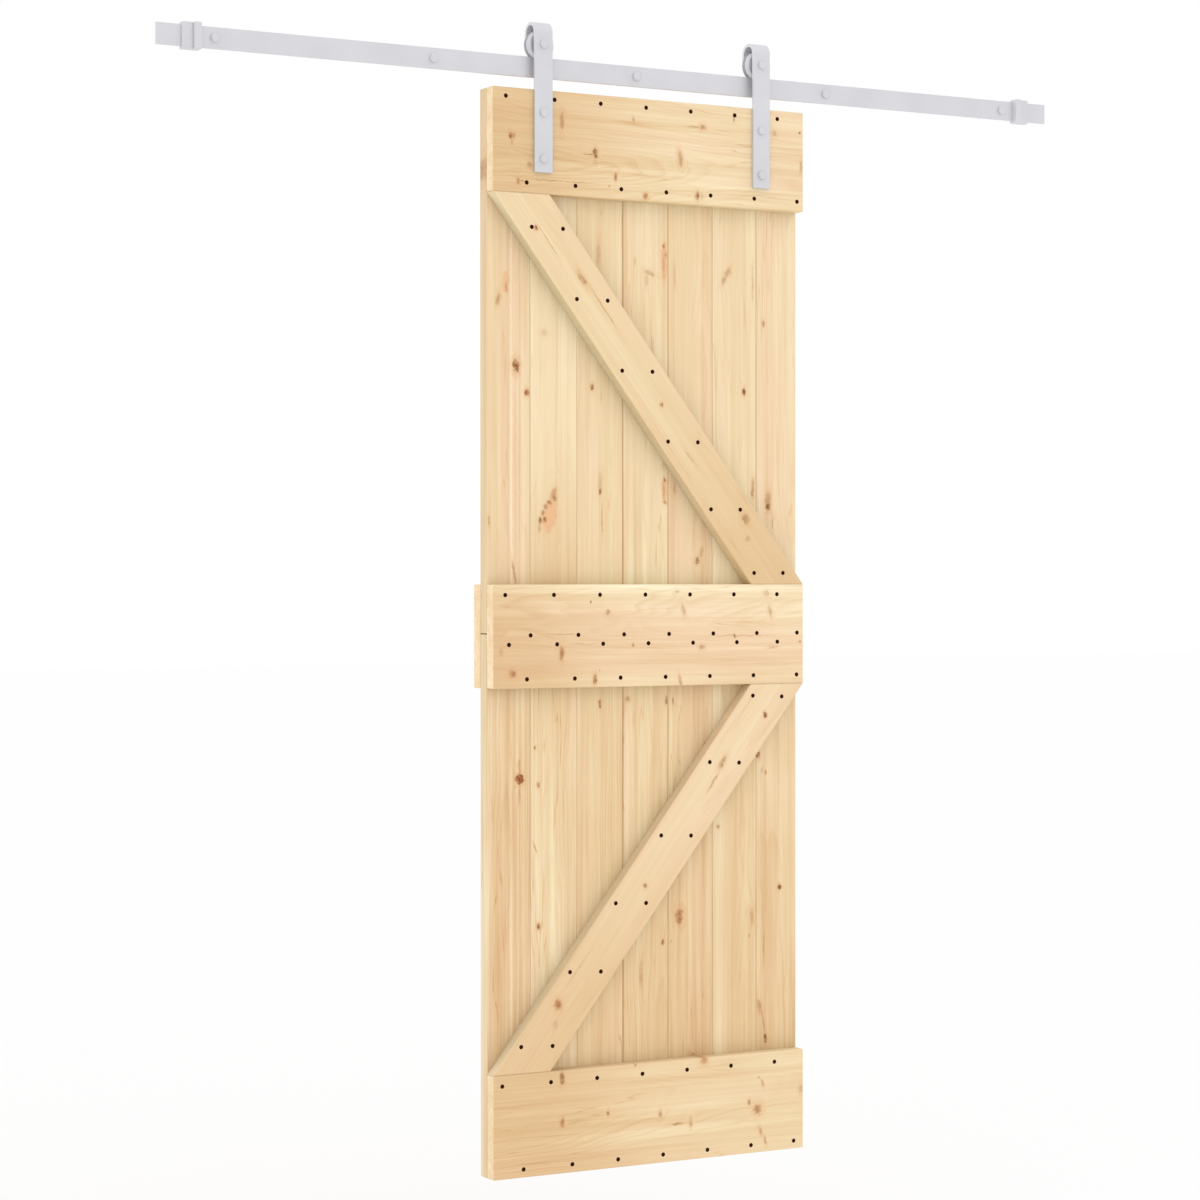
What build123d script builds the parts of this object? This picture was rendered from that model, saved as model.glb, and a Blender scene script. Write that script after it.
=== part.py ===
from build123d import *
import math
import os

# Sliding barn door on a flat steel track: a boarded pine leaf under a K of rails and braces,
# hung from two bent straps whose grooved wheels run on the track's top edge.
# Millimetres. X runs along the track, +Y into the wall, +Z up.
# The origin is the middle of the centre spacer's wall face.

# Boarded leaf
door_width = 705.0
door_height = 2103.0
lower_panel_height = 1051.0
panel_thickness = 28.0
board_count = 7
outer_board_width = 95.0
tongue_length = 8.0
tongue_thickness = 8.0
tongue_clearance = 0.2
seam_bevel = 1.5

# Rails and braces planted on the leaf
rail_thickness = 28.0
rail_height = 201.0
middle_rail_lap = 105.7
brace_width = 98.0
timber_edge_bevel = 1.5

# Flat track on its spacers
track_length = 2000.0
track_height = 40.0
track_thickness = 6.0
track_edge_bevel = 0.6
track_bolt_count = 5
track_bolt_inset = 114.0
spacer_diameter = 14.0
wall_gap = 7.0

# Bolts, all of one pattern
bolt_diameter = 10.0
bolt_hole_clearance = 0.2
bolt_head_diameter = 17.0
bolt_head_height = 5.0
bolt_head_bevel = 1.5
nut_across_flats = 17.0
nut_height = 8.0
bolt_end = 3.0

# Grooved wheels
groove_radius = 22.7
flange_depth = 6.8
groove_side_gap = 1.0
groove_flare = 1.0
wheel_side_gap = 5.0
wheel_edge_bevel = 5.0
hub_diameter = 24.0
hub_side_gap = 0.3
roll_gap = 0.3
axle_diameter = 12.0
axle_running_clearance = 0.05

# Bent strap hangers
strap_width = 39.0
strap_thickness = 6.0
strap_edge_bevel = 0.6
loop_gap = 32.0
loop_clearance = 9.0
strap_drop = 160.0
strap_bolt_top = 44.5
strap_bolt_pitch = 89.5
hanger_inset = 105.0
hanger_shift = 2.5
door_gap = 24.6
rest_offset = 28.8

# End stops clamped on the track
stop_bolt_gap = 30.0
clamp_width = 22.0
clamp_wall = 4.6
bumper_width = 14.0
bumper_reach = 12.0
stop_clearance = 0.2
stop_edge_bevel = 1.0

# Levels through the wall, from the wall face at y = 0 towards the room
front_face_y = -(wall_gap + 2 * rail_thickness + panel_thickness)
panel_front_y = front_face_y + rail_thickness
panel_back_y = panel_front_y + panel_thickness
track_y = front_face_y + loop_gap / 2
track_front_y = track_y - track_thickness / 2
track_back_y = track_y + track_thickness / 2
rear_leg_y = front_face_y + loop_gap
strap_front_y = front_face_y - strap_thickness
strap_rear_y = rear_leg_y + strap_thickness

# Levels up the wall, from the track's centre line at z = 0
track_top = track_height / 2
axle_z = track_top + roll_gap + groove_radius
door_top = -track_top - door_gap
door_bottom = door_top - door_height
panel_joint = door_bottom + lower_panel_height
middle_rail_bottom = panel_joint - middle_rail_lap
middle_rail_top = middle_rail_bottom + rail_height
flange_radius = groove_radius + flange_depth
loop_z = axle_z + flange_radius + loop_clearance - loop_gap / 2

# Places along the track
door_left = rest_offset - door_width / 2
door_right = rest_offset + door_width / 2
hanger_x = {
    "left": door_left + hanger_inset + hanger_shift,
    "right": door_right - hanger_inset + hanger_shift,
}
strap_bolt_z = [door_top - strap_bolt_top, door_top - strap_bolt_top - strap_bolt_pitch]
track_bolt_pitch = (track_length - 2 * track_bolt_inset) / (track_bolt_count - 1)
track_bolt_start = track_bolt_inset - track_length / 2
track_bolt_x = [track_bolt_start + i * track_bolt_pitch for i in range(track_bolt_count)]
bolt_hole_radius = bolt_diameter / 2 + bolt_hole_clearance

os.makedirs("parts", exist_ok=True)


def save(name, shape):
    export_step(shape, f"parts/{name}.step")


def block(x0, x1, y0, y1, z0, z1):
    corner = (Align.MIN, Align.MIN, Align.MIN)
    return Pos(x0, y0, z0) * Box(x1 - x0, y1 - y0, z1 - z0, align=corner)


# A round bar along Y, from the front end y0 to the back end y1
def rod(x, z, radius, y0, y1):
    return Pos(x, (y0 + y1) / 2, z) * Rot(90, 0, 0) * Cylinder(radius, y1 - y0)


# A pan-headed bolt seated on the face at seat_y, with its head to the front and its end at end_y
def pan_bolt(x, z, diameter, seat_y, end_y):
    head = rod(x, z, bolt_head_diameter / 2, seat_y - bolt_head_height, seat_y)
    head = chamfer(head.edges().group_by(Axis.Y)[0], bolt_head_bevel)
    return head + rod(x, z, diameter / 2, seat_y, end_y)


# A hexagon nut on the face at seat_y, with its hole clear of the bolt
def hex_nut(x, z, diameter, seat_y):
    flats = RegularPolygon(nut_across_flats / 2, 6, major_radius=False)
    hexagon = flats - Circle(diameter / 2 + bolt_hole_clearance)
    return Pos(x, seat_y + nut_height, z) * Rot(90, 0, 0) * extrude(hexagon, nut_height)


# Boards: a bevelled profile with a tongue on its right and a groove on its left, drawn up the door
board_pitch = (door_width - 2 * outer_board_width) / (board_count - 2)
panel_y = (panel_front_y + panel_back_y) / 2


def board(number, bottom, top):
    first, last = number == 1, number == board_count
    left = door_left if first else door_left + outer_board_width + (number - 2) * board_pitch
    right = door_right if last else door_left + outer_board_width + (number - 1) * board_pitch
    profile = chamfer(Rectangle(right - left, panel_thickness).vertices(), seam_bevel)
    half = (right - left) / 2
    if not last:
        profile += Pos(half, 0) * Rectangle(2 * tongue_length, tongue_thickness)
    if not first:
        depth = tongue_length + tongue_clearance
        profile -= Pos(-half, 0) * Rectangle(2 * depth, tongue_thickness + 2 * tongue_clearance)
    return Pos((left + right) / 2, panel_y, bottom) * extrude(profile, top - bottom)


strap_holes = [
    rod(x, z, bolt_hole_radius, strap_front_y, panel_back_y)
    for x in hanger_x.values()
    for z in strap_bolt_z
]
for number in range(1, board_count + 1):
    save(f"lower_board_{number}", board(number, door_bottom, panel_joint))
    save(f"upper_board_{number}", board(number, panel_joint, door_top) - strap_holes)


# Rails across the leaf: three on its front and one behind the joint of its two panels
def cross_rail(front_y, bottom):
    back_y, top = front_y + rail_thickness, bottom + rail_height
    return chamfer(block(door_left, door_right, front_y, back_y, bottom, top).edges(), timber_edge_bevel)


save("top_rail", cross_rail(front_face_y, door_top - rail_height) - strap_holes)
save("middle_rail", cross_rail(front_face_y, middle_rail_bottom))
save("bottom_rail", cross_rail(front_face_y, door_bottom))
save("back_rail", cross_rail(panel_back_y, middle_rail_bottom))


# Braces: a board of brace_width between two rails, cut level at both ends, corner to corner.
# Its sideways run is the root of (door_width - run) * height = brace_width * length.
def brace(bottom, top, bottom_left):
    height = top - bottom
    diagonal = math.sqrt(height**2 + door_width**2 - brace_width**2)
    run = height * (door_width * height - brace_width * diagonal) / (height**2 - brace_width**2)
    low, high = (0, run) if bottom_left else (run, 0)
    cut = door_width - run
    corners = [(low, bottom), (low + cut, bottom), (high + cut, top), (high, top)]
    outline = make_face(Polyline([(door_left + x, z) for x, z in corners], close=True))
    front = Plane((0, panel_front_y, 0), x_dir=(1, 0, 0), z_dir=(0, -1, 0))
    return chamfer(extrude(front * outline, rail_thickness).edges(), timber_edge_bevel)


save("upper_brace", brace(middle_rail_top, door_top - rail_height, False))
save("lower_brace", brace(door_bottom + rail_height, middle_rail_bottom, True))


# Track, with its spacers standing on the wall and its bolts through both
track = block(-track_length / 2, track_length / 2, track_front_y, track_back_y, -track_top, track_top)
track = chamfer(track.edges(), track_edge_bevel)
for number, x in enumerate(track_bolt_x, 1):
    hole = rod(x, 0, bolt_hole_radius, track_front_y, 0)
    track -= hole
    save(f"wall_spacer_{number}", rod(x, 0, spacer_diameter / 2, track_back_y, 0) - hole)
    save(f"track_bolt_{number}", pan_bolt(x, 0, bolt_diameter, track_front_y, 0))
save("track_rail", track)


# End stops: a collar clamped round the track, and a deeper bumper on the side that the wheel meets
def collar(x0, x1, reach):
    slot_y0, slot_y1 = track_front_y - stop_clearance, track_back_y + stop_clearance
    slot_top = track_top + stop_clearance
    outer_top = slot_top + clamp_wall
    outer = block(x0, x1, slot_y0 - reach, slot_y1 + clamp_wall, -outer_top, outer_top)
    return chamfer(outer.edges(), stop_edge_bevel) - block(x0, x1, slot_y0, slot_y1, -slot_top, slot_top)


stop_face = track_bolt_x[-1] + stop_bolt_gap
clamp_face = stop_face + bumper_width
clamp_end = clamp_face + clamp_width
save("stop_bumper_left", collar(-clamp_face, -stop_face, bumper_reach))
save("stop_clamp_left", collar(-clamp_end, -clamp_face, clamp_wall))
save("stop_bumper_right", collar(stop_face, clamp_face, bumper_reach))
save("stop_clamp_right", collar(clamp_face, clamp_end, clamp_wall))


# Hanger strap: bent over the wheel in a half round, its rear leg ending in an eye round the axle
def hanger_strap(x):
    outer_radius = loop_gap / 2 + strap_thickness
    ring = Circle(outer_radius) - Circle(loop_gap / 2)
    bend = ring & Pos(0, outer_radius / 2) * Rectangle(2 * outer_radius, outer_radius)
    leg = (loop_gap + strap_thickness) / 2
    strap_bottom = door_top - strap_drop
    front = Pos(-leg, (strap_bottom - loop_z) / 2) * Rectangle(strap_thickness, loop_z - strap_bottom)
    rear = Pos(leg, (axle_z - loop_z) / 2) * Rectangle(strap_thickness, loop_z - axle_z)
    side = Plane.YZ * Pos(track_y, loop_z) * (bend + front + rear)
    strap = Pos(x, 0, 0) * extrude(side, strap_width / 2, both=True)
    strap += rod(x, axle_z, strap_width / 2, rear_leg_y, strap_rear_y)
    strap = chamfer(strap.faces().filter_by(Axis.X).edges(), strap_edge_bevel)
    strap -= rod(x, axle_z, axle_diameter / 2 + bolt_hole_clearance, strap_front_y, strap_rear_y)
    return strap - strap_holes


# Wheel: a turned section about the axle, with a flared groove over the track and a hub filling the loop
def wheel(x):
    hub_half = loop_gap / 2 - hub_side_gap
    rim_half = loop_gap / 2 - wheel_side_gap
    groove_half = track_thickness / 2 + groove_side_gap
    bore = axle_diameter / 2 + axle_running_clearance
    section = [
        (bore, hub_half),
        (hub_diameter / 2, hub_half),
        (hub_diameter / 2, rim_half),
        (flange_radius - wheel_edge_bevel, rim_half),
        (flange_radius, rim_half - wheel_edge_bevel),
        (flange_radius, groove_half + groove_flare),
        (groove_radius, groove_half),
    ]
    outline = section + [(radius, -side) for radius, side in reversed(section)]
    return Pos(x, track_y, axle_z) * revolve(make_face(Polyline(outline, close=True)), Axis.Y)


# Axle and bolts, seated on the strap's front, with their nuts behind its rear leg and behind the boards
axle_tail_y = strap_rear_y + nut_height + bolt_end
bolt_tail_y = panel_back_y + nut_height + bolt_end
for side, x in hanger_x.items():
    save(f"hanger_strap_{side}", hanger_strap(x))
    save(f"wheel_{side}", wheel(x))
    save(f"axle_{side}", pan_bolt(x, axle_z, axle_diameter, strap_front_y, axle_tail_y))
    save(f"axle_nut_{side}", hex_nut(x, axle_z, axle_diameter, strap_rear_y))
    bolts = [pan_bolt(x, z, bolt_diameter, strap_front_y, bolt_tail_y) for z in strap_bolt_z]
    nuts = [hex_nut(x, z, bolt_diameter, panel_back_y) for z in strap_bolt_z]
    save(f"hanger_bolts_{side}", Compound(bolts))
    save(f"hanger_nuts_{side}", Compound(nuts))
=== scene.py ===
import math

import bpy
import numpy as np
from mathutils import Matrix, Vector


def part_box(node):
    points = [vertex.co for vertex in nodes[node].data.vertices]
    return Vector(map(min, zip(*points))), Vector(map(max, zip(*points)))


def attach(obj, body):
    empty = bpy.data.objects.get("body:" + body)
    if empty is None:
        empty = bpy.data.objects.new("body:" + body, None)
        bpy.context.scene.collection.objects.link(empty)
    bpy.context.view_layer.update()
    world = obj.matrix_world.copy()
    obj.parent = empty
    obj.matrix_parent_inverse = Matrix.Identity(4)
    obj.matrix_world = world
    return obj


# Boarded pine barn door on a flat wall track, dressed over its CAD frame.
# Metres; X along the track, +Y into the wall, +Z up.
# Places on the leaf are in mm from its left bottom corner.

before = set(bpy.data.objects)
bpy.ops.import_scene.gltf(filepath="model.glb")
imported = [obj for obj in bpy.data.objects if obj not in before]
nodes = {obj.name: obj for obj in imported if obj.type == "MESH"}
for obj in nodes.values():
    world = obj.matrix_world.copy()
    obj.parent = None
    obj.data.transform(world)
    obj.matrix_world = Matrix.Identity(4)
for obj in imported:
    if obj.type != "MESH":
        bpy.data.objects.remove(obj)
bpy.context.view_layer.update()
mm = 0.001
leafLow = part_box("bottom_rail")[0]
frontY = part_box("top_rail")[0].y
print("frame loaded:", len(nodes), "nodes")


def plug(tree, value, socket):  # a socket is linked, anything else becomes the socket's own value
    if isinstance(value, bpy.types.NodeSocket):
        tree.links.new(value, socket)
    else:
        socket.default_value = value


def addNode(tree, kind, inputs=None, **settings):
    node = tree.nodes.new("ShaderNode" + kind)
    for name, value in settings.items():
        setattr(node, name, value)
    for name, value in (inputs or {}).items():
        plug(tree, value, node.inputs[name])
    return node


def calc(tree, operation, *values):
    return addNode(tree, "Math", dict(enumerate(values)), operation=operation).outputs[0]


def ease(tree, value, low, high, start=0.0, end=1.0):  # smooth step from start at low to end at high
    sockets = {"Value": value, "From Min": low, "From Max": high, "To Min": start, "To Max": end}
    return addNode(tree, "MapRange", sockets, interpolation_type="SMOOTHSTEP").outputs[0]


def mixColour(tree, amount, first, second, mode="MIX"):
    node = addNode(tree, "Mix", {0: amount, 6: first, 7: second}, data_type="RGBA", blend_type=mode)
    return node.outputs[2]


def noise(tree, place, stretch, detail=2.0):  # fractal noise, with stretch as cycles per metre on each axis
    scaled = addNode(tree, "VectorMath", {0: place, 1: stretch}, operation="MULTIPLY").outputs[0]
    return addNode(tree, "TexNoise", {"Vector": scaled, "Scale": 1.0, "Detail": detail}).outputs[0]


def startGroup(name, inputs, outputs):
    tree = bpy.data.node_groups.new(name, "ShaderNodeTree")
    for direction, sockets in (("INPUT", inputs), ("OUTPUT", outputs)):
        for label, kind in sockets.items():
            tree.interface.new_socket(label, in_out=direction, socket_type="NodeSocket" + kind)
    return tree, tree.nodes.new("NodeGroupInput").outputs, tree.nodes.new("NodeGroupOutput").inputs


def startMaterial(name):
    material = bpy.data.materials.new(name)
    material.use_nodes = True
    tree = material.node_tree
    return material, tree, tree.nodes["Principled BSDF"]


def srgb(red, green, blue):  # a display colour in 0 to 255, as scene-linear values
    value = np.array([red, green, blue]) / 255
    linear = np.where(value <= 0.04045, value / 12.92, ((value + 0.055) / 1.055) ** 2.4)
    return (*[float(part) for part in linear], 1.0)


studio = {
    "skyLevel": 0.96,
    "floorDrop": 0.25,  # floor below the leaf's bottom edge
    "floorHalf": 40.0,
    "floorColour": (0.96, 0.96, 0.96, 1.0),
    "floorGlow": 0.3,  # share of plain white that the camera sees in the floor
    "key": {"comesFrom": (0.35, -0.40, 0.85), "level": 0.15, "softness": 70},
    "rim": {"comesFrom": (-0.85, 0.45, 0.25), "level": 0.30, "softness": 70},
}


def seenDirectly(tree):  # one for camera, glossy and transmission rays
    rays = addNode(tree, "LightPath").outputs
    bright = calc(tree, "MAXIMUM", rays["Is Camera Ray"], rays["Is Glossy Ray"])
    return calc(tree, "MAXIMUM", bright, rays["Is Transmission Ray"])


def makeSky():
    world = bpy.data.worlds.new("studioSky")
    world.use_nodes = True
    tree = world.node_tree
    background = tree.nodes["Background"]
    background.inputs["Color"].default_value = (1, 1, 1, 1)
    levels = {"Value": seenDirectly(tree), "To Min": studio["skyLevel"], "To Max": 1.0}
    plug(tree, addNode(tree, "MapRange", levels).outputs[0], background.inputs["Strength"])
    bpy.context.scene.world = world


def makeFloor():
    half, level = studio["floorHalf"], leafLow.z - studio["floorDrop"]
    mesh = bpy.data.meshes.new("studioFloor")
    corners = [(-half, -half, level), (half, -half, level), (half, half, level), (-half, half, level)]
    mesh.from_pydata(corners, [], [(0, 1, 2, 3)])
    material, tree, paint = startMaterial("studioFloor")
    paint.inputs["Base Color"].default_value = studio["floorColour"]
    paint.inputs["Roughness"].default_value = 1.0
    paint.inputs["Specular IOR Level"].default_value = 0.0
    white = addNode(tree, "Emission", {"Color": (1, 1, 1, 1), "Strength": 1.0})
    share = calc(tree, "MULTIPLY", seenDirectly(tree), studio["floorGlow"])
    mixed = addNode(tree, "MixShader", {0: share, 1: paint.outputs[0], 2: white.outputs[0]})
    plug(tree, mixed.outputs[0], tree.nodes["Material Output"].inputs["Surface"])
    mesh.materials.append(material)
    floor = bpy.data.objects.new("studioFloor", mesh)
    bpy.context.scene.collection.objects.link(floor)


def makeSun(name, look):  # a wide soft sun, shining from the direction that the look gives
    lamp = bpy.data.lights.new(name, "SUN")
    lamp.energy = look["level"]
    lamp.angle = math.radians(look["softness"])
    sun = bpy.data.objects.new(name, lamp)
    sun.rotation_euler = Vector(look["comesFrom"]).to_track_quat("Z", "Y").to_euler()
    bpy.context.scene.collection.objects.link(sun)


view = {
    "place": (-2.9152, -5.2372, -0.9927),
    "heading": 28.768,  # degrees from +Y towards +X
    "pitch": -0.382,
    "roll": -0.026,
    "lens": 90.0,
    "sensor": 36.0,
}


def makeCamera():
    lens = bpy.data.cameras.new("photoCamera")
    lens.lens, lens.sensor_width = view["lens"], view["sensor"]
    camera = bpy.data.objects.new("photoCamera", lens)
    turn = Matrix.Rotation(math.radians(-view["heading"]), 4, "Z")
    tilt = Matrix.Rotation(math.radians(90 + view["pitch"]), 4, "X")
    roll = Matrix.Rotation(math.radians(view["roll"]), 4, "Z")
    camera.matrix_world = Matrix.Translation(view["place"]) @ turn @ tilt @ roll
    bpy.context.scene.collection.objects.link(camera)
    bpy.context.scene.camera = camera


bpy.context.scene.view_settings.view_transform = "Standard"
makeSky()
makeFloor()
makeSun("keyLight", studio["key"])
makeSun("rimLight", studio["rim"])
makeCamera()
print("studio and camera set")


pine = {
    "straw": srgb(246, 221, 178),
    "peach": srgb(245, 213, 174),
    "flesh": srgb(240, 184, 136),
    "halo": srgb(228, 174, 118),
    "knot": srgb(166, 116, 68),
    "redKnot": srgb(176, 98, 52),
    "bark": srgb(100, 62, 30),
    "jointLine": srgb(112, 84, 52),
    "paintedSideShade": (0.91, 0.96, 1.0, 1.0),  # painted shade: what is left of each colour on the sides of boards and braces
    "paintedCornerShade": (0.62, 0.73, 0.79, 1.0),  # painted shade: what is left of each colour in a closed corner
    "cornerReach": 0.06,
    "cornerSamples": 4,
    "cornerShadeLimit": 0.80,  # a corner less open than half of this loses its painted shade again
    "seamShadeSkip": 0.7,  # share of a board's seam that the painted corner shade leaves out
    "edgeBand": (0.6 * mm, 0.3 * mm),  # where the painted light and shade on a timber's ends and sides starts and is full
    "ringSpacing": (0.0042, 0.0075),
    "pithAcross": (-0.05, 0.05),
    "pithThrough": (0.03, 0.09),
    "seedShift": 3.7,
    "roughHeight": (-0.3, 0.6),
    "roughness": (0.64, 0.50),
    "specular": 0.30,
    "bumpDepth": 0.0004,
    "bumpStrength": 0.5,
    "depthOfColour": (0.117, 0.215, 0.325),  # darkening of red, green and blue at a depth of 1
}


# Darker pine is warmer: each channel falls as a power of the depth, and blue falls most
def powerTone(tree, depth):
    channels = [calc(tree, "POWER", math.exp(-share), depth) for share in pine["depthOfColour"]]
    return addNode(tree, "CombineXYZ", dict(enumerate(channels))).outputs[0]


# Edges are the reach, in half sizes of the knot, where a part of it starts and where it is full.
# Drifts and tears are noise as (cycles per metre, size).
knotLook = {
    "fleshEdge": (1.15, 0.70),
    "coreEdge": (1.30, 0.40),
    "coreShare": (0.35, 0.70),  # by how broken the bark is, and everywhere
    "rimOuter": (1.15, 0.90),
    "rimInner": (0.50, 0.85),
    "heartEdge": (0.55, 0.10),
    "barkDarkness": (0.55, 1.0),
    "redEdge": (2.4, 1.2),
    "haloEdge": (2.6, 0.7),
    "liftFall": -0.30,
    "liftShare": 0.6,
    "driftX": (62, 5.0),
    "driftZ": (57, 7.0),
    "torn": (150, 1.0),
    "broken": (150, 150, 110),
    "brokenEdge": (0.44, 0.60),
}


# One knot, in mm on the leaf: an ellipse that leans by Slant, with a torn outline, broken bark and a wide
# halo, or, where Pale is above zero, a plain peach patch
def makeKnotGroup():
    labels = ("Leaf X", "Leaf Z", "Torn", "Broken", "At X", "At Z", "Half Wide", "Half Tall")
    labels += ("Slant", "Dark", "Pale", "Red By", "Lift By")
    tree, given, result = startGroup(
        "pineKnot",
        {label: "Float" for label in labels},
        {label: "Float" for label in ("Flesh", "Core", "Red", "Bark", "Halo", "Lift")},
    )
    right = calc(tree, "SUBTRACT", given["Leaf X"], given["At X"])
    up = calc(tree, "SUBTRACT", given["Leaf Z"], given["At Z"])
    cosine, sine = calc(tree, "COSINE", given["Slant"]), calc(tree, "SINE", given["Slant"])
    wide = calc(tree, "SUBTRACT", calc(tree, "MULTIPLY", right, cosine), calc(tree, "MULTIPLY", up, sine))
    tall = calc(tree, "ADD", calc(tree, "MULTIPLY", right, sine), calc(tree, "MULTIPLY", up, cosine))
    wide = calc(tree, "DIVIDE", wide, given["Half Wide"])
    tall = calc(tree, "DIVIDE", tall, given["Half Tall"])
    square = calc(tree, "ADD", calc(tree, "MULTIPLY", wide, wide), calc(tree, "MULTIPLY", tall, tall))
    reach = calc(tree, "ADD", calc(tree, "SQRT", square), given["Torn"])

    def within(edge):
        return ease(tree, reach, *knotLook[edge])

    flesh = calc(tree, "MULTIPLY", within("fleshEdge"), given["Pale"])
    core = calc(tree, "MULTIPLY", within("coreEdge"), given["Dark"])
    core = calc(tree, "MULTIPLY", core, calc(tree, "MULTIPLY_ADD", given["Broken"], *knotLook["coreShare"]))
    rim = calc(tree, "MULTIPLY", within("rimOuter"), within("rimInner"))
    heart = calc(tree, "MAXIMUM", rim, within("heartEdge"))
    bark = calc(tree, "MULTIPLY", heart, given["Broken"])
    bark = calc(tree, "MULTIPLY", bark, ease(tree, given["Dark"], *knotLook["barkDarkness"]))
    fall = calc(tree, "POWER", math.e, calc(tree, "MULTIPLY", square, knotLook["liftFall"]))
    plug(tree, flesh, result["Flesh"])
    plug(tree, core, result["Core"])
    plug(tree, calc(tree, "MULTIPLY", within("redEdge"), given["Red By"]), result["Red"])
    plug(tree, bark, result["Bark"])
    plug(tree, calc(tree, "MULTIPLY", within("haloEdge"), given["Dark"]), result["Halo"])
    plug(tree, calc(tree, "MULTIPLY", fall, given["Lift By"]), result["Lift"])
    return tree


# Noise is (cycles per metre along the grain, across it, through it). Layers and weights are depths of
# colour, and shares are smooth steps between two values of their noise.
grainLook = {
    "wander": (2.2, 12, 12),
    "wobble": (9, 70, 70),
    "wobbleSize": 0.004,
    "lateRise": (0.25, 0.90),  # late wood over one ring, from 0 to 1
    "lateFall": (1.0, 0.90),
    "patch": (1.3, 14, 14),
    "patchShare": (-0.12, 0.16, 0.15, 1.0),
    "ringShare": (0.0, 1.0, 0.3, 1.0),
    "vein": (2.6, 48, 48),
    "veinEdge": (0.018, 0.0),
    "veinPatch": (3, 22, 22),
    "veinShare": (0.0, 0.12),
    "fibre": (7, 400, 400),
    "fibreDetail": 3.0,
    "layers": (((0.8, 26, 26), 1.7), ((4.5, 13, 13), 1.0), ((2.2, 95, 95), 1.6)),  # bands, clouds, streaks
    "fibreWeight": 0.8,
    "lateWeight": 0.60,
    "veinWeight": 1.0,
    "blush": (0.9, 11, 11),
    "blushShare": (-0.14, 0.16),
    "haloWeight": 0.55,
    "coreWeight": 1.15,
    "barkWeight": 0.8,
    "fibreHeight": 0.6,
    "lateHeight": 0.35,
    "knotHeight": 0.5,
}


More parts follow.
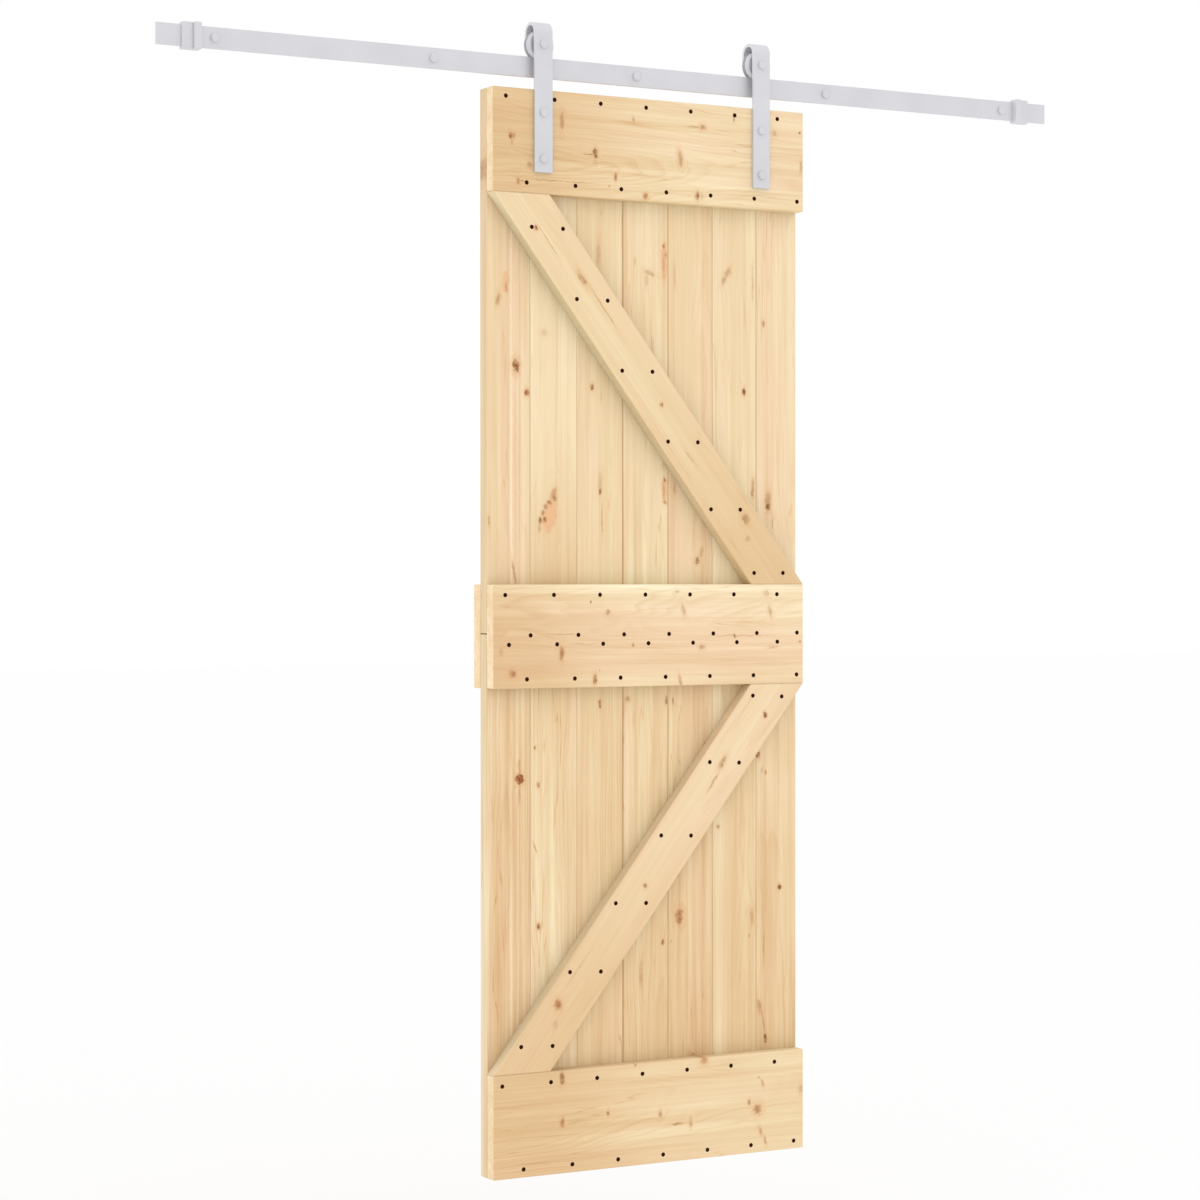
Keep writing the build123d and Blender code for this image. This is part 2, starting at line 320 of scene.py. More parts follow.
# Grain: rings about a sloping pith line that wanders, thin veins, and layers and fibres along the timber
def makeGrainGroup():
    floats = ("Flesh", "Core", "Red", "Bark", "Halo", "Lift", "Depth", "Contrast", "Blush", "Seed", "Wave")
    floats += ("Pith Across", "Pith Through", "Pith Slope", "Spacing")
    inputs = {"Place": "Vector", **{label: "Float" for label in floats}}
    tree, given, result = startGroup("pineGrain", inputs, {"Color": "Color", "Height": "Float"})
    shift = addNode(tree, "CombineXYZ", {0: given["Seed"], 1: given["Seed"], 2: given["Seed"]}).outputs[0]
    place = addNode(tree, "VectorMath", {0: given["Place"], 1: shift}, operation="ADD").outputs[0]

    def around(stretch, detail=2.0):  # noise about zero
        return calc(tree, "SUBTRACT", noise(tree, place, stretch, detail), 0.5)

    parts = addNode(tree, "SeparateXYZ", {0: given["Place"]}).outputs
    across = calc(tree, "SUBTRACT", parts["Y"], given["Pith Across"])
    through = calc(tree, "MULTIPLY_ADD", parts["X"], given["Pith Slope"], parts["Z"])
    through = calc(tree, "SUBTRACT", through, given["Pith Through"])
    square = calc(tree, "MULTIPLY_ADD", through, through, calc(tree, "MULTIPLY", across, across))
    wander = calc(tree, "MULTIPLY", around(grainLook["wander"]), given["Wave"])
    wobble = around(grainLook["wobble"])
    field = calc(tree, "MULTIPLY_ADD", wobble, grainLook["wobbleSize"], calc(tree, "SQRT", square))
    field = calc(tree, "SUBTRACT", calc(tree, "ADD", field, wander), given["Lift"])
    ring = calc(tree, "DIVIDE", field, given["Spacing"])
    phase = calc(tree, "FRACT", ring)
    rise, fall = ease(tree, phase, *grainLook["lateRise"]), ease(tree, phase, *grainLook["lateFall"])
    each = addNode(tree, "TexWhiteNoise", {"W": calc(tree, "FLOOR", ring)}, noise_dimensions="1D")
    strength = ease(tree, each.outputs["Value"], *grainLook["ringShare"])
    patch = ease(tree, around(grainLook["patch"]), *grainLook["patchShare"])
    late = calc(tree, "MULTIPLY", calc(tree, "MULTIPLY", rise, fall), patch)
    late = calc(tree, "MULTIPLY", late, strength)
    vein = ease(tree, calc(tree, "ABSOLUTE", around(grainLook["vein"])), *grainLook["veinEdge"])
    vein = calc(tree, "MULTIPLY", vein, ease(tree, around(grainLook["veinPatch"]), *grainLook["veinShare"]))
    fibre = around(grainLook["fibre"], grainLook["fibreDetail"])
    layers = [(around(stretch), weight) for stretch, weight in grainLook["layers"]]
    layers.append((fibre, grainLook["fibreWeight"]))
    layers.append((late, grainLook["lateWeight"]))
    layers.append((vein, grainLook["veinWeight"]))
    depth = 0.0
    for layer, weight in layers:
        depth = calc(tree, "MULTIPLY_ADD", layer, weight, depth)
    depth = calc(tree, "MULTIPLY_ADD", depth, given["Contrast"], given["Depth"])
    blush = ease(tree, around(grainLook["blush"]), *grainLook["blushShare"])
    blush = calc(tree, "MULTIPLY", blush, given["Blush"])
    colour = mixColour(tree, blush, pine["straw"], pine["peach"])
    colour = mixColour(tree, 1.0, colour, powerTone(tree, depth), "MULTIPLY")
    colour = mixColour(tree, given["Flesh"], colour, pine["flesh"])
    halo = calc(tree, "MULTIPLY", given["Halo"], grainLook["haloWeight"])
    colour = mixColour(tree, halo, colour, pine["halo"])
    core = calc(tree, "MINIMUM", calc(tree, "MULTIPLY", given["Core"], grainLook["coreWeight"]), 1.0)
    colour = mixColour(tree, core, colour, mixColour(tree, given["Red"], pine["knot"], pine["redKnot"]))
    bark = calc(tree, "MULTIPLY", given["Bark"], grainLook["barkWeight"])
    colour = mixColour(tree, bark, colour, pine["bark"])
    height = calc(tree, "MULTIPLY", fibre, grainLook["fibreHeight"])
    height = calc(tree, "ADD", height, calc(tree, "MULTIPLY", late, grainLook["lateHeight"]))
    height = calc(tree, "MULTIPLY_ADD", given["Core"], grainLook["knotHeight"], height)
    plug(tree, colour, result["Color"])
    plug(tree, height, result["Height"])
    return tree


knotGroup, grainGroup = makeKnotGroup(), makeGrainGroup()


# A timber's own axes: along the grain, across it and through it, leaning from upright towards +X
def timberTurn(lean):
    upright = Matrix(((0, 1, 0), (0, 0, 1), (1, 0, 0)))
    return Matrix.Rotation(lean, 3, "Y") @ upright


def knotMarks(tree, objectPlace, look):  # all knots of a timber, each strongest where it lies
    leaf = addNode(tree, "VectorMath", {0: objectPlace, 1: leafLow}, operation="SUBTRACT").outputs[0]
    leaf = addNode(tree, "VectorMath", {0: leaf, "Scale": 1 / mm}, operation="SCALE").outputs[0]
    axes = addNode(tree, "SeparateXYZ", {0: leaf}).outputs

    def rough(cycles, size):  # noise about zero
        about = calc(tree, "SUBTRACT", noise(tree, objectPlace, (cycles,) * 3), 0.5)
        return calc(tree, "MULTIPLY", about, size)

    shared = {
        "Leaf X": calc(tree, "ADD", axes["X"], rough(*knotLook["driftX"])),
        "Leaf Z": calc(tree, "ADD", axes["Z"], rough(*knotLook["driftZ"])),
        "Torn": rough(*knotLook["torn"]),
        "Broken": ease(tree, noise(tree, objectPlace, knotLook["broken"]), *knotLook["brokenEdge"]),
    }
    marks = {"Flesh": 0.0, "Core": 0.0, "Red": 0.0, "Bark": 0.0, "Halo": 0.0, "Lift": 0.0}
    for fromLeft, fromBottom, wide, tall, dark, *rest in look["knots"]:
        slant, red = (*rest, 0, 0)[:2]
        inputs = {"At X": fromLeft, "At Z": fromBottom, "Half Wide": wide / 2, "Half Tall": tall / 2}
        inputs["Dark"], inputs["Pale"] = max(dark, 0.0), max(-dark, 0.0)
        inputs["Slant"], inputs["Red By"] = math.radians(slant), red
        inputs["Lift By"] = knotLook["liftShare"] * (tall if look["level"] else wide) * mm
        knot = addNode(tree, "Group", {**shared, **inputs}, node_tree=knotGroup).outputs
        for label in marks:
            join = "ADD" if label == "Lift" else "MAXIMUM"
            marks[label] = calc(tree, join, marks[label], knot[label])
    return marks, shared["Leaf X"], shared["Leaf Z"]


def blendDepth(tree, share, first, second):
    return addNode(tree, "Mix", {0: share, 2: first, 3: second}, data_type="FLOAT").outputs[0]


def nearEdge(tree, axis, half):  # one on the faces that lie half a size from the middle of an axis
    start, full = pine["edgeBand"]
    return ease(tree, calc(tree, "ABSOLUTE", axis), half - start, half - full)


# A timber's depth of colour: a fade along it, one across it, stripes, its ends and sides as painted light
# and shade, then its seams. The second result is one in the seams.
def timberDepth(tree, look, parts, stripeAxis, reach):
    depth = ease(tree, parts["X"], -reach, reach * look["fadeEnd"], *look["depth"])
    if "across" in look:
        across = ease(tree, parts["Y"], -look["half"], look["half"], *look["across"])
        depth = calc(tree, "ADD", depth, across)
    for at, wide, darker in look["stripes"]:
        offset = calc(tree, "ABSOLUTE", calc(tree, "SUBTRACT", stripeAxis, at))
        depth = calc(tree, "ADD", depth, ease(tree, offset, wide, 0.0, 0.0, darker))
    # painted light: the end faces take a depth of their own, mostly paler than the faces beside them
    if "ends" in look:
        depth = blendDepth(tree, nearEdge(tree, parts["X"], reach), depth, look["ends"])
    # painted light and shade: the side faces take a depth of their own
    if "sides" in look:
        depth = blendDepth(tree, nearEdge(tree, parts["Y"], look["half"]), depth, look["sides"])
    grooves = 0.0
    # painted light: a seam depth below zero makes a bevel paler against the shade in the groove
    for edge, darker in look.get("seams", ()):
        offset = calc(tree, "ABSOLUTE", calc(tree, "SUBTRACT", parts["Y"], edge))
        groove = ease(tree, offset, boards["seamWidth"], boards["seamCore"])
        depth = calc(tree, "MULTIPLY_ADD", groove, darker, depth)
        grooves = calc(tree, "MAXIMUM", grooves, groove)
    return depth, grooves


def paintedCornerShade(tree, grooves):  # painted shade: what is left of each colour where a corner shuts out the light
    sockets = {"Distance": pine["cornerReach"]}
    corner = addNode(tree, "AmbientOcclusion", sockets, samples=pine["cornerSamples"]).outputs["AO"]
    corner = calc(tree, "MAXIMUM", corner, calc(tree, "SUBTRACT", pine["cornerShadeLimit"], corner))
    corner = calc(tree, "MAXIMUM", corner, calc(tree, "MULTIPLY", grooves, pine["seamShadeSkip"]))
    return mixColour(tree, corner, pine["paintedCornerShade"], (1.0, 1.0, 1.0, 1.0))


def pineMaterial(node, look, lean, seed):
    low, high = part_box(node)
    centre, turn = (low + high) / 2, timberTurn(lean)
    reach = sum(abs(part) * side for part, side in zip(turn.col[0], high - low)) / 2
    chance = np.random.default_rng(seed)
    material, tree, wood = startMaterial("pine_" + node)
    objectPlace = addNode(tree, "TexCoord").outputs["Object"]
    sockets = {"Vector": objectPlace, "Location": centre, "Rotation": turn.to_euler()}
    place = addNode(tree, "Mapping", sockets, vector_type="TEXTURE").outputs[0]
    parts = addNode(tree, "SeparateXYZ", {0: place}).outputs
    marks, leafX, leafZ = knotMarks(tree, objectPlace, look)
    depth, grooves = timberDepth(tree, look, parts, leafZ if look["level"] else leafX, reach)
    inputs = {
        "Place": place,
        "Depth": depth,
        "Contrast": look["contrast"],
        "Blush": look["blush"],
        "Seed": seed * pine["seedShift"],
        "Wave": look["wave"],
        "Pith Across": chance.uniform(*pine["pithAcross"]),
        "Pith Through": chance.choice((-1, 1)) * chance.uniform(*pine["pithThrough"]),
        "Pith Slope": look["slope"],
        "Spacing": chance.uniform(*pine["ringSpacing"]),
        **marks,
    }
    grain = addNode(tree, "Group", inputs, node_tree=grainGroup).outputs
    colour = grain["Color"]
    # painted shade: the side faces are darkened, red the most
    if "sides" in look:
        side = nearEdge(tree, parts["Y"], look["half"])
        sideShadeFactor = mixColour(tree, side, (1.0, 1.0, 1.0, 1.0), pine["paintedSideShade"])
        colour = mixColour(tree, 1.0, colour, sideShadeFactor, "MULTIPLY")
    if look.get("jointEnd"):
        end = calc(tree, "MULTIPLY", parts["X"], look["jointEnd"])
        line = ease(tree, end, reach - boards["jointWidth"], reach - boards["jointWidth"] / 2)
        colour = mixColour(tree, line, colour, pine["jointLine"])
    # painted shade: the colour darkens where corners shut out the light, less in the seams
    colour = mixColour(tree, 1.0, colour, paintedCornerShade(tree, grooves), "MULTIPLY")
    plug(tree, colour, wood.inputs["Base Color"])
    roughness = ease(tree, grain["Height"], *pine["roughHeight"], *pine["roughness"])
    plug(tree, roughness, wood.inputs["Roughness"])
    wood.inputs["Specular IOR Level"].default_value = pine["specular"]
    relief = {"Height": grain["Height"], "Distance": pine["bumpDepth"], "Strength": pine["bumpStrength"]}
    plug(tree, addNode(tree, "Bump", relief).outputs[0], wood.inputs["Normal"])
    return material


def dress(node, material):
    nodes[node].data.materials.clear()
    nodes[node].data.materials.append(material)


# Upright boards. Depth is the colour at a board's bottom and from fadeEnd on, a share of the half length.
# Knots are (from left, from bottom, width, height, darkness, slant in degrees, redness), sizes in mm; a
# darkness below zero makes a peach patch. Stripes are (from left, half width, depth of colour), the whole
# height. Seams are the depths of colour on the two sides of each joint, and a depth below zero is painted
# light, a paler bevel against the shade in the groove.
boards = {
    "tongue": 8 * mm,
    "seamWidth": 2.4 * mm,
    "seamCore": 1.68 * mm,
    "jointWidth": 1.6 * mm,
    "wave": 0.030,
    "slopes": (-0.010, 0.012),  # of the pith, on odd and even boards
    "seams": ((0.6, -0.4), (0.2, -0.4), (2.1, 0.7), (0.8, 0.3), (0.6, -0.2), (0.6, -0.2)),
    "upper": {
        "jointEnd": -1,
        "seed": 11,
        "depth": ((0.15, 0.0), (0.9, -0.35), (0.20, 0.1), (-0.30, 0.05), (0.15, 0.15), (-0.25, -0.25),
                  (-0.10, -0.10)),
        "fadeEnd": -0.2,
        "contrast": (0.9, 0.55, 0.8, 1.15, 0.75, 0.75, 0.75),
        "blush": (0.9, 0.2, 0.6, 0.4, 0.9, 0.4, 0.8),
        "sides": 0.6,
        "stripes": ((14, 16, 0.30), (308, 10, 0.25), (572, 30, 0.25), (650, 14, 0.15)),
        "knots": (
            ((41, 1731, 16, 46, -0.55), (43, 1722, 5, 22, 0.5), (25, 1697, 9, 26, 0.5, 12),
             (64, 1570, 14, 27, 0.85, 0, 0.4), (88, 1519, 11, 14, 0.95, 0, 0.7), (5, 1268, 5, 22, 0.35),
             (60, 1168, 4, 46, 0.5, -12), (0, 1947, 12, 40, 0.45)),
            ((138, 1280, 32, 72, -0.75, 12), (145, 1316, 16, 40, -0.55, 20),
             (146, 1324, 12, 26, 0.35, 20), (149, 1315, 8, 15, 0.85), (137, 1306, 10, 9, 0.65, 40),
             (128, 1298, 8, 12, 0.60, 30), (123, 1286, 7, 15, 0.55, 15), (117, 1271, 8, 14, 0.75),
             (126, 1274, 8, 10, 0.75), (115, 1256, 6, 20, 0.35), (127, 1637, 15, 13, 0.2)),
            ((232, 1534, 7, 13, 0.95, 0, 0.4), (250, 1347, 12, 40, 0.25), (250, 1329, 5, 14, 0.75),
             (254, 1274, 3, 54, 0.45), (246, 1795, 10, 54, 0.25)),
            ((395, 1789, 15, 84, -0.70), (395, 1820, 6, 10, 0.7, 0, 0.8),
             (398, 1802, 5, 9, 0.6, 0, 0.8), (394, 1780, 4, 44, 0.35), (361, 1764, 24, 10, 0.4, 20),
             (355, 1748, 8, 24, 0.3), (395, 1335, 14, 56, -0.70), (397, 1354, 7, 10, 0.7, 0, 0.8),
             (397, 1310, 8, 8, 0.6, 0, 0.8), (394, 1330, 4, 30, 0.4), (397, 1390, 12, 38, 0.25),
             (345, 1469, 12, 14, 0.4)),
            ((419, 1336, 6, 22, 0.4), (472, 1194, 12, 14, 0.8), (481, 1210, 10, 22, 0.35, 20),
             (419, 1762, 6, 54, 0.25)),
            ((543, 1774, 13, 24, 0.35, 30), (534, 1758, 10, 24, 0.4, 25), (602, 1757, 6, 84, 0.25),
             (581, 1535, 7, 14, 0.95), (602, 1338, 8, 42, 0.45), (600, 1330, 4, 9, 0.7)),
            ((627, 1675, 7, 14, 0.5), (638, 1313, 16, 44, 0.50), (638, 1302, 10, 16, 0.9),
             (649, 1269, 3, 24, 0.5)),
        ),
    },
    "lower": {
        "jointEnd": 1,
        "seed": 18,
        "depth": ((1.00, 0.55), (0.20, 0.50), (0.45, 0.25), (0.75, 0.35), (1.10, 0.25), (0.75, 0.10),
                  (1.15, 0.35)),
        "fadeEnd": 1.0,
        "contrast": (1.5, 1.4, 1.15, 1.1, 1.2, 0.95, 1.5),
        "blush": (0.7, 0.5, 0.8, 0.7, 0.8, 0.4, 0.4),
        "sides": 0.0,
        "stripes": ((14, 16, -0.35), (56, 9, 0.30), (88, 6, -0.45), (104, 14, -0.30), (311, 14, -0.40),
                    (490, 12, 0.25), (518, 18, -0.40), (600, 12, 0.50)),
        "knots": (
            ((71, 768, 17, 18, 1.0, 0, 1.0), (71, 790, 5, 40, 0.35, 0, 1.0),
             (71, 740, 5, 36, 0.3, 0, 1.0)),
            ((105, 828, 3.5, 8, 0.9), (112, 755, 7, 12, 0.7), (112, 481, 8, 13, 0.8),
             (105, 633, 3, 20, 0.5, -20)),
            ((249, 911, 5, 14, 0.9),),
            ((311, 919, 13, 12, 0.5), (400, 915, 5, 16, 0.8), (392, 435, 7, 12, 0.8),
             (342, 371, 9, 64, 0.35)),
            ((415, 913, 4, 16, 0.6), (429, 483, 18, 30, 0.70, 0, 0.5), (410, 435, 4, 7, 0.5),
             (461, 205, 8, 6, 0.6), (488, 824, 6, 14, 0.4)),
            ((520, 658, 6, 7, 0.6), (600, 474, 10, 34, 0.40), (593, 435, 4, 7, 0.6)),
            ((615, 800, 9, 13, 0.85), (633, 765, 4, 8, 0.8), (666, 530, 8, 12, 1.0),
             (628, 414, 3, 76, 0.5), (632, 226, 8, 18, 0.95), (617, 290, 10, 36, 0.5, -10),
             (626, 262, 4, 60, 0.45, -8)),
        ),
    },
    "stripes": (
        ((46, 4, 0.40), (53, 4, -0.75), (62, 5, 0.35), (68, 2, -0.30), (71, 3, 0.40), (79, 5, -0.40)),
        ((97, 8, -0.25), (135, 22, 0.15), (153, 5, 0.25), (170, 8, -0.25), (178, 5, 0.20)),
        ((235, 10, -0.10), (250, 8, 0.25)),
        ((328, 7, 0.30), (356, 12, -0.20), (392, 10, 0.15)),
        ((416, 7, 0.20), (484, 6, 0.30)),
        ((518, 18, -0.30), (552, 6, 0.20), (582, 5, 0.25)),
        ((634, 9, 0.20), (656, 7, -0.30)),
    ),
}


def dressBoards():
    boardCount = len(boards["stripes"])
    for number in range(boardCount):
        for panel in ("upper", "lower"):
            node = f"{panel}_board_{number + 1}"
            low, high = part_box(node)
            half = (high.x - low.x) / 2
            style = boards[panel]
            seams = []
            if number > 0:
                seams.append((-half, boards["seams"][number - 1][1]))
            if number < boardCount - 1:
                seams.append((half - boards["tongue"], boards["seams"][number][0]))
            look = {
                "knots": style["knots"][number],
                "depth": style["depth"][number],
                "fadeEnd": style["fadeEnd"],
                "contrast": style["contrast"][number],
                "blush": style["blush"][number],
                "stripes": boards["stripes"][number] + style["stripes"],
                "sides": style["sides"],
                "half": half,
                "wave": boards["wave"],
                "slope": boards["slopes"][number % 2],
                "level": False,
                "seams": seams,
                "jointEnd": style["jointEnd"],
            }
            dress(node, pineMaterial(node, look, 0.0, style["seed"] + number))


# Rails lie level and braces lean. Depth is the colour at the start of the grain and from fadeEnd on. Across
# adds a depth at a rail's top edge and one at its bottom edge. A rail's stripes are (from bottom, half
# width, depth of colour). Ends and sides have depths of their own, painted light and shade on those faces.
railStyle = {"level": True, "wave": 0.055, "slope": 0.07}
railSeed = 31
rails = {
    "top_rail": {
        "depth": (1.28, -0.10),
        "fadeEnd": 0.4,
        "across": (0.0, -0.10),
        "stripes": ((1980, 26, 0.35),),
        "ends": 0.05,
        "contrast": 1.0,
        "blush": 0.8,
        "knots": (
            (38, 2010, 9, 13, 0.8, -15, 0.7), (45, 2010, 8, 12, 0.6, 20), (41, 1998, 6, 14, 0.4),
            (150, 2045, 9, 34, 0.55), (150, 2044, 6, 12, 0.7), (224, 1989, 10, 18, 0.85),
            (211, 1986, 26, 2.5, 0.6), (310, 2061, 5, 8, 0.6), (466, 2056, 14, 12, 0.6),
            (447, 2056, 28, 2.5, 0.5), (416, 1992, 11, 28, 0.55, -12), (269, 1946, 6, 14, 0.75),
            (255, 1926, 4, 5, 0.5), (337, 1911, 11, 12, 0.85, 0, 0.7), (456, 1919, 9, 17, 0.85, 0, 0.5),
            (466, 1919, 10, 16, 0.25), (55, 1925, 8, 12, 0.75, 0, 0.6), (79, 1956, 12, 13, 0.5),
            (636, 2057, 12, 12, 0.3), (696, 2062, 4, 4, 0.8), (700, 1992, 6, 24, 0.45),
            (541, 2079, 3, 12, 0.8), (120, 1929, 66, 2.5, 0.55), (63, 1925, 16, 2.5, 0.6),
            (185, 1929, 60, 2.0, 0.4),
        ),
    },
    "middle_rail": {
        "depth": (0.97, -0.22),
        "fadeEnd": 0.0,
        "across": (-0.55, 0.45),
        "stripes": ((1072, 24, 0.30),),
        "ends": -0.2,
        "contrast": 1.05,
        "blush": 1.0,
        "knots": (
            (214, 1113, 4, 6, 0.7), (251, 1092, 10, 12, 0.45), (409, 1132, 12, 8, 0.35),
            (423, 1095, 9, 24, 0.35, -15), (617, 1129, 13, 13, 0.3), (626, 1092, 9, 24, 0.35, -12),
            (542, 1044, 6, 7, 0.7), (309, 1027, 6, 7, 0.65), (149, 1013, 10, 28, 0.65, 0, 0.5),
            (466, 1022, 13, 10, 0.5), (41, 974, 14, 16, 0.7, 0, 0.8), (636, 1020, 22, 6, 0.25),
            (223, 960, 8, 20, 0.85), (415, 957, 7, 24, 0.45, -12), (233, 977, 3, 4, 0.5),
            (17, 1016, 9, 22, 0.25), (696, 1029, 4, 4, 0.8), (557, 1043, 142, 2, 0.35),
            (139, 1050, 76, 2, 0.35), (200, 1031, 60, 2, 0.35),
        ),
    },
    "bottom_rail": {
        "depth": (1.38, 0.25),
        "fadeEnd": 0.4,
        "across": (-0.1, -0.15),
        "stripes": ((122, 24, 0.25),),
        "ends": 0.3,
        "contrast": 1.0,
        "blush": 0.4,
        "knots": (
            (150, 185, 10, 24, 0.75), (150, 98, 10, 19, 0.65, 0, 0.5), (252, 109, 6, 10, 0.7),
            (370, 97, 8, 15, 0.6), (410, 74, 30, 4, 0.6), (440, 73, 8, 18, 0.4),
            (470, 196, 17, 18, 0.6, 0, 0.7), (599, 151, 4, 4, 0.6), (608, 139, 5, 14, 0.5, -15),
            (576, 102, 6, 11, 0.55), (596, 87, 19, 21, 0.6, 0, 0.6), (603, 42, 7, 19, 0.45, -15),
            (614, 23, 5, 19, 0.45, -15), (699, 118, 11, 19, 0.3), (313, 198, 7, 5, 0.5),
        ),
    },
    "back_rail": {
        "depth": (0.3, 0.2),
        "fadeEnd": 1.0,
        "across": (0.0, 0.0),
        "stripes": (),
        "ends": 0.0,
        "contrast": 1.0,
        "blush": 0.8,
        "knots": ((150, 1060, 10, 14, 0.6), (470, 1000, 12, 18, 0.7)),
    },
}
braceStyle = {"level": False, "contrast": 0.5, "blush": 0.7, "wave": 0.035, "slope": 0.02, "stripes": ()}
braceSeed = 41
braceWidth = 98 * mm
braces = {
    "upper_brace": {
        "depth": (1.00, 0.15),
        "fadeEnd": 0.2,
        "towardsRight": -1,
        "sides": 0.35,
        "knots": (
            (93, 1837, 8, 10, 0.8, 0, 0.9), (195, 1742, 12, 32, 0.50, -36), (200, 1737, 5, 12, 0.7, -36),
            (241, 1689, 2.5, 96, 0.45, -36), (120, 1812, 2.5, 70, 0.4, -36), (373, 1502, 8, 9, 0.75),
            (568, 1277, 17, 22, 0.65, -20), (573, 1238, 11, 14, 0.3), (439, 1399, 4, 44, 0.3, -40),
        ),
    },
    "lower_brace": {
        "depth": (0.92, -0.06),
        "fadeEnd": 0.6,
        "towardsRight": 1,
        "sides": 0.25,
        "knots": (
            (614, 883, 8, 12, 0.9), (514, 790, 13, 30, 0.50, 34), (513, 784, 6, 11, 0.7, 34),
            (492, 751, 5, 46, 0.45, 36), (335, 551, 8, 8, 0.75), (140, 329, 16, 21, 0.65, 0, 0.7),
            (135, 291, 11, 18, 0.25), (185, 395, 2.5, 90, 0.3, 38),
        ),
    },
}


def dressRails():
    for number, (node, look) in enumerate(rails.items()):
        low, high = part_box(node)
        look = {**railStyle, **look, "half": (high.z - low.z) / 2}
        dress(node, pineMaterial(node, look, math.pi / 2, railSeed + number))


def dressBraces():  # a brace's lean is its box's diagonal, less the turn that its own width takes up
    for number, (node, look) in enumerate(braces.items()):
        low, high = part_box(node)
        wide, tall = high.x - low.x, high.z - low.z
        lean = math.atan2(wide, tall) - math.asin(braceWidth / math.hypot(wide, tall))
        look = {**braceStyle, **look, "half": braceWidth / 2}
        dress(node, pineMaterial(node, look, lean * look["towardsRight"], braceSeed + number))


dressBoards()
dressRails()
dressBraces()
print("pine dressed")


# Finishes: two close tones, speckle in cycles per metre, and how rough and metallic each is
cloudStretch = (14, 14, 14)
cloudDetail = 3.0
cloudShare = (0.45, 1.05)
speckleWeight = 0.5
speckleShare = (0.3, 0.7)
speckleBump = 0.4
finishes = {
    "paintedSteel": {
        "tones": (srgb(215, 215, 219), srgb(221, 220, 225)),
        "speckle": 900.0,
        "roughness": (0.40, 0.50),
        "metallic": 0.35,
        "specular": 0.5,
        "bumpDepth": 0.00006,
    },
    "boltSteel": {
        "tones": (srgb(213, 213, 218), srgb(221, 220, 225)),
        "speckle": 1400.0,
        "roughness": (0.32, 0.42),
        "metallic": 0.45,
        "specular": 0.5,
        "bumpDepth": 0.00003,
    },
    "wheelSteel": {
        "tones": (srgb(208, 208, 213), srgb(220, 219, 224)),
        "speckle": 1200.0,
        "roughness": (0.32, 0.44),
        "metallic": 0.45,
        "specular": 0.5,
        "bumpDepth": 0.00003,
    },
    "bumperRubber": {
        "tones": (srgb(215, 215, 220), srgb(222, 221, 226)),
        "speckle": 1600.0,
        "roughness": (0.62, 0.72),
        "metallic": 0.0,
        "specular": 0.4,
        "bumpDepth": 0.00005,
    },
    "screwBlack": {
        "tones": (srgb(42, 16, 3), srgb(58, 26, 7)),
        "speckle": 1500.0,
        "roughness": (0.70, 0.80),
        "metallic": 0.0,
        "specular": 0.05,
        "bumpDepth": 0.00003,
    },
}


def finishMaterial(name):  # a fine speckle over slow cloudy tones
    look = finishes[name]
    material, tree, paint = startMaterial(name)
    place = addNode(tree, "TexCoord").outputs["Object"]
    cloud = noise(tree, place, cloudStretch, cloudDetail)
    speckle = noise(tree, place, (look["speckle"],) * 3)
    share = ease(tree, calc(tree, "MULTIPLY_ADD", speckle, speckleWeight, cloud), *cloudShare)
    plug(tree, mixColour(tree, share, *look["tones"]), paint.inputs["Base Color"])
    plug(tree, ease(tree, speckle, *speckleShare, *look["roughness"]), paint.inputs["Roughness"])
    paint.inputs["Metallic"].default_value = look["metallic"]
    paint.inputs["Specular IOR Level"].default_value = look["specular"]
    relief = {"Height": speckle, "Distance": look["bumpDepth"], "Strength": speckleBump}
    plug(tree, addNode(tree, "Bump", relief).outputs[0], paint.inputs["Normal"])
    return material


finish = {name: finishMaterial(name) for name in finishes}
hardware = {
    "paintedSteel": ("track_rail", "wall_spacer", "stop_clamp", "hanger_strap"),
    "boltSteel": ("track_bolt", "hanger_bolts", "hanger_nuts", "axle"),
    "wheelSteel": ("wheel",),
    "bumperRubber": ("stop_bumper",),
}
for name, starts in hardware.items():
    for node in nodes:
        if node.startswith(starts):
            dress(node, finish[name])
print("hardware dressed")


# Wood screws: rows as (height, first, second, last) across the leaf, with even steps from the second on,
# and pairs as (left, height) up the braces
screws = {
    "radius": 4.7 * mm,
    "dome": 0.9 * mm,
    "sunk": 0.3 * mm,
    "slotHalf": 0.6 * mm,
    "slotReach": 2.3 * mm,
    "slotDepth": 0.7 * mm,
    "rings": 7,
    "sides": 24,
    "rowPitch": 102.1,
    "rowSteps": 5,
    "rows": {
        "top_rail": ((2086, 28, 134, 643), (1922, 73, 180, 690)),
        "middle_rail": ((1126, 26, 132, 642), (1048, 81, 186, 690), (1030, 34, 139, 643),
                        (963, 73, 178, 689)),
        "bottom_rail": ((180, 19, 125, 636), (16, 65, 172, 682)),
    },
    "pairs": {
        "upper_brace": ((84, 1837), (183, 1702), (284, 1566), (388, 1429), (487, 1296), (588, 1169)),
        "lower_brace": ((585, 922), (484, 791), (372, 649), (269, 520), (167, 391), (60, 253)),
    },
    "pairStep": {"upper_brace": (68.4, 0), "lower_brace": (68.5, -3)},
}


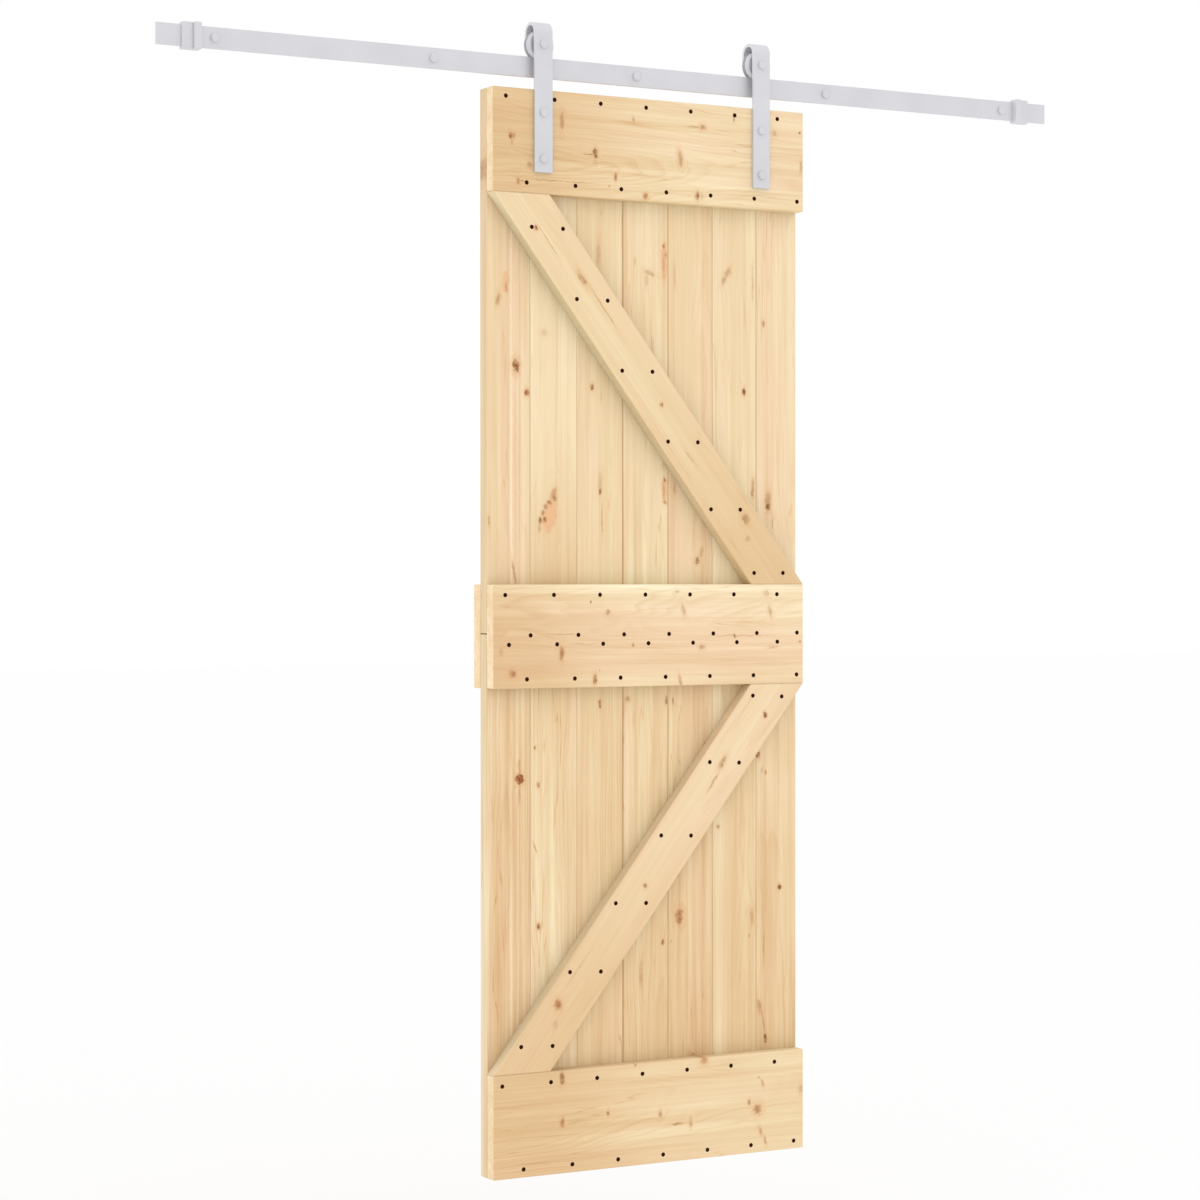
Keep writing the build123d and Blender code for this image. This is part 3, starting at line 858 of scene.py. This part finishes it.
# Screw head: height over a disc is a shallow dome, less a crossed slot, on a grid of radius by angle
def screwHeads(name, places):
    ringCount, sideCount = screws["rings"], screws["sides"]
    ring = np.linspace(0, 1, ringCount + 1)[1:, None] * screws["radius"]
    angle = np.linspace(0, 2 * np.pi, sideCount, endpoint=False)[None, :]
    across, up = ring * np.cos(angle), ring * np.sin(angle)
    near, far = np.minimum(abs(across), abs(up)), np.maximum(abs(across), abs(up))
    slot = (near < screws["slotHalf"]) & (far < screws["slotReach"])
    height = screws["dome"] * (1 - (ring / screws["radius"]) ** 2) - screws["slotDepth"] * slot
    height[-1] = -screws["sunk"]
    disc = np.stack([across, -height, up], -1).reshape(-1, 3)
    disc = np.vstack([disc, [[0, screws["slotDepth"] - screws["dome"], 0]]])
    inner = np.arange((ringCount - 1) * sideCount).reshape(-1, sideCount)
    following = np.roll(inner, -1, 1)
    quads = np.stack([inner, inner + sideCount, following + sideCount, following], -1).reshape(-1, 4)
    first = np.arange(sideCount)
    fan = np.stack([np.full(sideCount, len(disc) - 1), first, np.roll(first, -1)], -1)
    starts = np.arange(len(places)) * len(disc)
    points = (np.array(places)[:, None, :] + disc[None]).reshape(-1, 3)
    faces = []
    for part in (quads, fan):
        faces += (part[None] + starts[:, None, None]).reshape(-1, part.shape[1]).tolist()
    mesh = bpy.data.meshes.new(name)
    mesh.from_pydata(points.tolist(), [], faces)
    mesh.shade_smooth()
    mesh.materials.append(finish["screwBlack"])
    heads = bpy.data.objects.new(name, mesh)
    bpy.context.scene.collection.objects.link(heads)
    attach(heads, "door")


def onFront(fromLeft, fromBottom):
    return (leafLow.x + fromLeft * mm, frontY, leafLow.z + fromBottom * mm)


for node, rows in screws["rows"].items():
    places = []
    for height, start, second, last in rows:
        along = [start, *(second + screws["rowPitch"] * step for step in range(screws["rowSteps"])), last]
        places += [onFront(fromLeft, height) for fromLeft in along]
    screwHeads("screws_" + node, places)
for node, pairs in screws["pairs"].items():
    stepRight, stepUp = screws["pairStep"][node]
    places = [onFront(left, height) for left, height in pairs]
    places += [onFront(left + stepRight, height + stepUp) for left, height in pairs]
    screwHeads("screws_" + node, places)
print("screws set")
